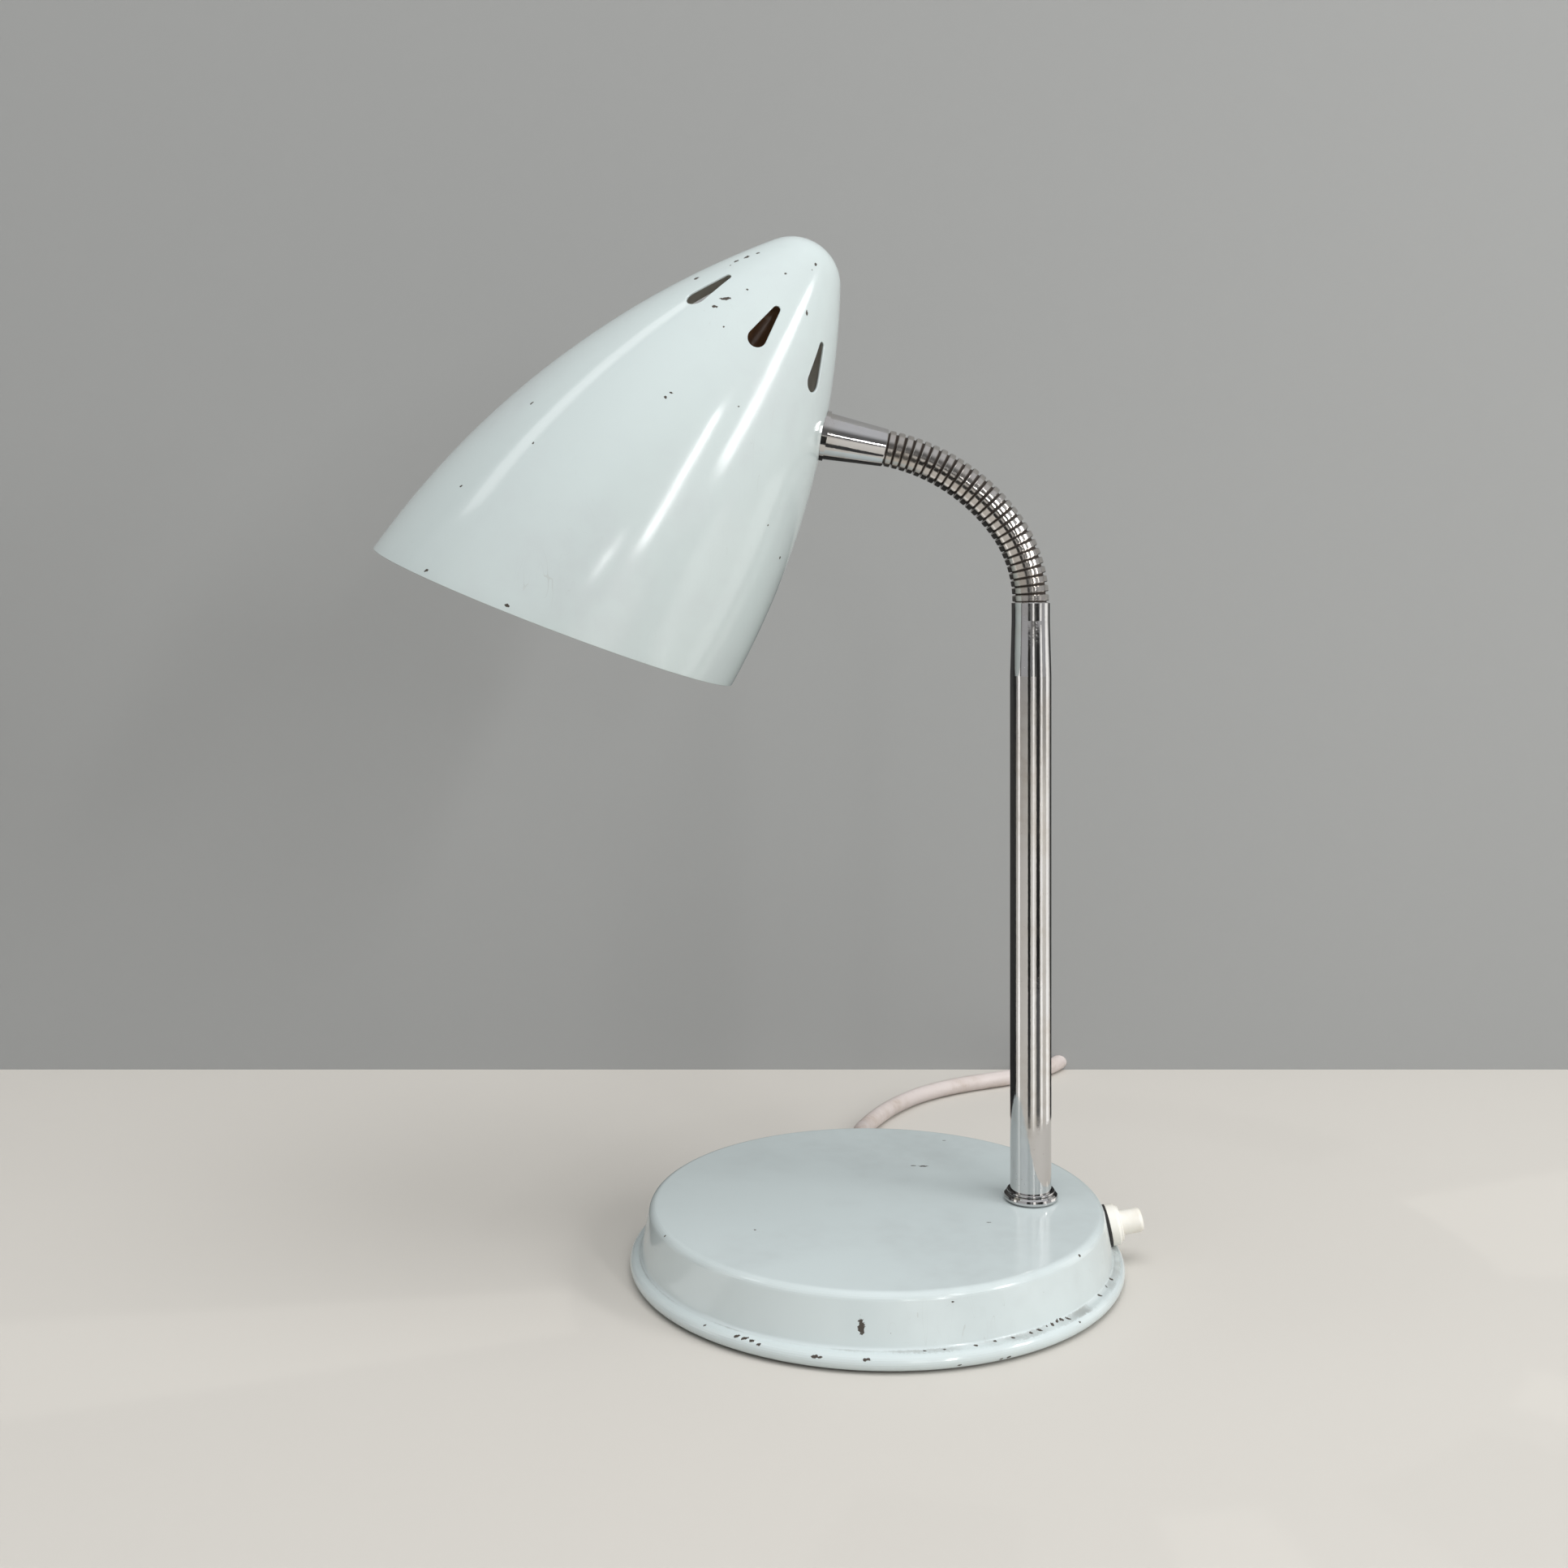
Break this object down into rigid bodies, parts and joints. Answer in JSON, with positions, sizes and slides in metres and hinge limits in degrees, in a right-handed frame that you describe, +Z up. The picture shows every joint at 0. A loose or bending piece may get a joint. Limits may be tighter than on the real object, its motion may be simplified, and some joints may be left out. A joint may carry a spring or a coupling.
{
  "type": "gooseneck desk lamp",
  "caption": "Desk lamp with a bullet-shaped enamelled shade, a flexible chrome neck on a straight stem, a round weighted base with a push-button switch, and a coiled mains cord.",
  "frame": {"origin": "centre of the base's underside, on the surface that the lamp stands on", "axes": "+Z up along the stem, +X from the base centre towards the stem and the push button, the shade hangs towards -X"},
  "size_m": [0.2752, 0.432, 0.3352],
  "materials": {
    "felt": "matte",
    "zinc_plate": "satin",
    "cast_iron": "matte",
    "base_enamel": "gloss",
    "shade_enamel": "gloss",
    "chrome": "polished",
    "brass": "satin",
    "bakelite": "gloss",
    "ceramic": "gloss",
    "cap_metal": "satin",
    "bulb_glass": "frosted",
    "white_plastic": "gloss",
    "black_rubber": "matte",
    "lead_pvc": "matte",
    "cord_pvc": "satin"
  },
  "bodies": {
    "base": {"base_pad": "felt", "base_plate": "zinc_plate", "base_screws": "zinc_plate", "base_weight": "cast_iron", "base_shell": "base_enamel", "stem_collar": "chrome", "stem_tube": "chrome", "stem_rod": "brass", "stem_washer": "zinc_plate", "stem_nut": "brass", "neck_root": "chrome", "switch_housing": "white_plastic", "switch_gasket": "black_rubber", "switch_ring_nut": "white_plastic", "switch_spring": "zinc_plate", "terminal_block": "ceramic", "inner_leads": "lead_pvc", "cord_boot": "cord_pvc", "power_cord": "cord_pvc", "cord_coil": "cord_pvc", "cord_tie": "black_rubber", "cord_tail": "cord_pvc", "plug_body": "cord_pvc", "plug_pins": "brass"},
    "link_01": {"neck_turn_01": "chrome"},
    "link_02": {"neck_turn_02": "chrome"},
    "link_03": {"neck_turn_03": "chrome"},
    "link_04": {"neck_turn_04": "chrome"},
    "link_05": {"neck_turn_05": "chrome"},
    "link_06": {"neck_turn_06": "chrome"},
    "link_07": {"neck_turn_07": "chrome"},
    "link_08": {"neck_turn_08": "chrome"},
    "link_09": {"neck_turn_09": "chrome"},
    "link_10": {"neck_turn_10": "chrome"},
    "link_11": {"neck_turn_11": "chrome"},
    "link_12": {"neck_turn_12": "chrome"},
    "link_13": {"neck_turn_13": "chrome"},
    "link_14": {"neck_turn_14": "chrome"},
    "link_15": {"neck_turn_15": "chrome"},
    "link_16": {"neck_turn_16": "chrome"},
    "link_17": {"neck_turn_17": "chrome"},
    "link_18": {"neck_turn_18": "chrome"},
    "link_19": {"neck_turn_19": "chrome"},
    "link_20": {"neck_turn_20": "chrome"},
    "link_21": {"neck_turn_21": "chrome"},
    "link_22": {"neck_turn_22": "chrome"},
    "link_23": {"neck_turn_23": "chrome"},
    "link_24": {"neck_turn_24": "chrome"},
    "link_25": {"neck_turn_25": "chrome"},
    "head": {"neck_end": "chrome", "ferrule": "chrome", "shade": "shade_enamel", "lock_nuts": "brass", "holder_bracket": "zinc_plate", "holder_sleeve": "bakelite", "holder_core": "ceramic", "holder_screw_shell": "brass", "bulb_cap": "cap_metal", "bulb_glass": "bulb_glass"},
    "button": {"switch_button": "white_plastic"}
  },
  "joints": [
    {"name": "neck_bend_01", "type": "hinge", "parent": "base", "child": "link_01", "pos_m": [0.05061, 0, 0.21856], "axis": [0, -1, 0], "range_deg": [-7.3, 2.1]},
    {"name": "neck_sway_01", "type": "hinge", "parent": "link_01", "child": "link_02", "pos_m": [0.05035, 0, 0.22132], "axis": [0.9918, 0, 0.1276], "range_deg": [-3.2, 3.2]},
    {"name": "neck_bend_02", "type": "hinge", "parent": "link_02", "child": "link_03", "pos_m": [0.04991, 0, 0.22405], "axis": [0, -1, 0], "range_deg": [-7.32, 2.12]},
    {"name": "neck_sway_02", "type": "hinge", "parent": "link_03", "child": "link_04", "pos_m": [0.04929, 0, 0.22674], "axis": [0.9675, 0, 0.2531], "range_deg": [-3.22, 3.22]},
    {"name": "neck_bend_03", "type": "hinge", "parent": "link_04", "child": "link_05", "pos_m": [0.04851, 0, 0.2294], "axis": [0, -1, 0], "range_deg": [-7.32, 2.12]},
    {"name": "neck_sway_03", "type": "hinge", "parent": "link_05", "child": "link_06", "pos_m": [0.04755, 0, 0.23199], "axis": [0.9273, 0, 0.3744], "range_deg": [-3.22, 3.22]},
    {"name": "neck_bend_04", "type": "hinge", "parent": "link_06", "child": "link_07", "pos_m": [0.04644, 0, 0.23452], "axis": [0, -1, 0], "range_deg": [-7.32, 2.12]},
    {"name": "neck_sway_04", "type": "hinge", "parent": "link_07", "child": "link_08", "pos_m": [0.04516, 0, 0.23698], "axis": [0.8719, 0, 0.4896], "range_deg": [-3.22, 3.22]},
    {"name": "neck_bend_05", "type": "hinge", "parent": "link_08", "child": "link_09", "pos_m": [0.04373, 0, 0.23934], "axis": [0, -1, 0], "range_deg": [-7.32, 2.12]},
    {"name": "neck_sway_05", "type": "hinge", "parent": "link_09", "child": "link_10", "pos_m": [0.04215, 0, 0.24161], "axis": [0.8023, 0, 0.5969], "range_deg": [-3.22, 3.22]},
    {"name": "neck_bend_06", "type": "hinge", "parent": "link_10", "child": "link_11", "pos_m": [0.04045, 0, 0.24379], "axis": [0, -1, 0], "range_deg": [-4.92, 1.43]},
    {"name": "neck_sway_06", "type": "hinge", "parent": "link_11", "child": "link_12", "pos_m": [0.03865, 0, 0.2459], "axis": [0.7468, 0, 0.665], "range_deg": [-3.22, 3.22]},
    {"name": "neck_bend_07", "type": "hinge", "parent": "link_12", "child": "link_13", "pos_m": [0.03677, 0, 0.24792], "axis": [0, -1, 0], "range_deg": [-4.92, 1.43]},
    {"name": "neck_sway_07", "type": "hinge", "parent": "link_13", "child": "link_14", "pos_m": [0.0348, 0, 0.24987], "axis": [0.687, 0, 0.7266], "range_deg": [-3.22, 3.22]},
    {"name": "neck_bend_08", "type": "hinge", "parent": "link_14", "child": "link_15", "pos_m": [0.03275, 0, 0.25172], "axis": [0, -1, 0], "range_deg": [-4.92, 1.43]},
    {"name": "neck_sway_08", "type": "hinge", "parent": "link_15", "child": "link_16", "pos_m": [0.03062, 0, 0.25349], "axis": [0.6221, 0, 0.7829], "range_deg": [-3.22, 3.22]},
    {"name": "neck_bend_09", "type": "hinge", "parent": "link_16", "child": "link_17", "pos_m": [0.02842, 0, 0.25517], "axis": [0, -1, 0], "range_deg": [-4.92, 1.43]},
    {"name": "neck_sway_09", "type": "hinge", "parent": "link_17", "child": "link_18", "pos_m": [0.02615, 0, 0.25674], "axis": [0.5527, 0, 0.8334], "range_deg": [-3.22, 3.22]},
    {"name": "neck_bend_10", "type": "hinge", "parent": "link_18", "child": "link_19", "pos_m": [0.02381, 0, 0.25822], "axis": [0, -1, 0], "range_deg": [-4.92, 1.43]},
    {"name": "neck_sway_10", "type": "hinge", "parent": "link_19", "child": "link_20", "pos_m": [0.02141, 0, 0.2596], "axis": [0.4791, 0, 0.8778], "range_deg": [-3.22, 3.22]},
    {"name": "neck_bend_11", "type": "hinge", "parent": "link_20", "child": "link_21", "pos_m": [0.01896, 0, 0.26087], "axis": [0, -1, 0], "range_deg": [-4.92, 1.43]},
    {"name": "neck_sway_11", "type": "hinge", "parent": "link_21", "child": "link_22", "pos_m": [0.01645, 0, 0.26204], "axis": [0.402, 0, 0.9156], "range_deg": [-3.22, 3.22]},
    {"name": "neck_bend_12", "type": "hinge", "parent": "link_22", "child": "link_23", "pos_m": [0.01389, 0, 0.2631], "axis": [0, -1, 0], "range_deg": [-4.92, 1.43]},
    {"name": "neck_sway_12", "type": "hinge", "parent": "link_23", "child": "link_24", "pos_m": [0.01129, 0, 0.26404], "axis": [0.322, 0, 0.9467], "range_deg": [-3.22, 3.22]},
    {"name": "neck_bend_13", "type": "hinge", "parent": "link_24", "child": "link_25", "pos_m": [0.00866, 0, 0.26488], "axis": [0, -1, 0], "range_deg": [-4.92, 1.43]},
    {"name": "neck_sway_13", "type": "hinge", "parent": "link_25", "child": "head", "pos_m": [0.00599, 0, 0.2656], "axis": [0.2396, 0, 0.9709], "range_deg": [-3.22, 3.22]},
    {"name": "button_press", "type": "slide", "parent": "base", "child": "button", "axis": [-0.9816, 0, -0.1908], "range_m": [0, 0.002], "stiffness_N_per_m": 900, "springref_m": -0.001, "deforming": ["switch_spring"]}
  ]
}
